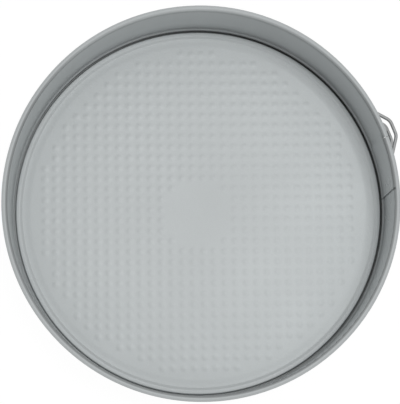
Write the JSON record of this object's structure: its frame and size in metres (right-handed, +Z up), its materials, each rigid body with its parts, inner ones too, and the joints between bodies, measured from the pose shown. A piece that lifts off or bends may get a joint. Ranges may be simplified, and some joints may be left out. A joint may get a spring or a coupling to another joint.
{
  "type": "round cake tin",
  "caption": "Round springform cake tin with a dimpled loose base, a rolled rim and an over-centre clasp whose wire bail opens the sprung band.",
  "frame": {"origin": "on the tin's own axis, in the plane that it stands on", "axes": "+Z up out of the tin; -Y outwards through the middle of the clasp; +X to the right as the clasp is seen from outside"},
  "size_m": [0.2678, 0.2775, 0.065],
  "materials": {
    "band_coating": "satin grey non-stick coating on thin steel",
    "base_coating": "satin light grey non-stick coating, pressed with a grid of small dimples",
    "clasp_steel": "plain pressed steel",
    "wire_steel": "drawn bright steel wire"
  },
  "bodies": {
    "ring": {"ring_band": "band_coating", "hinge_bracket": "clasp_steel", "hinge_pin": "clasp_steel", "keeper_plate": "clasp_steel"},
    "base": {"base_disc": "base_coating"},
    "lever": {"lever": "clasp_steel"},
    "bail": {"bail": "wire_steel"}
  },
  "joints": [
    {"name": "lever_swing", "type": "hinge", "parent": "ring", "child": "lever", "pos_m": [0.00772, -0.13658, 0.036], "axis": [0, 0, -1], "range_deg": [0, 160], "deforming": ["ring_band"]},
    {"name": "bail_swing", "type": "hinge", "parent": "lever", "child": "bail", "pos_m": [0.02377, -0.13106, 0.036], "axis": [0, 0, -1], "range_deg": [-208, 0]},
    {"name": "base_lift", "type": "slide", "parent": "ring", "child": "base", "axis": [0, 0, 1], "range_m": [0, 0.08], "deforming": ["ring_band"]}
  ],
  "couplings": [
    {"joint": "bail_swing", "follows": "lever_swing", "ratio": -1.3}
  ]
}
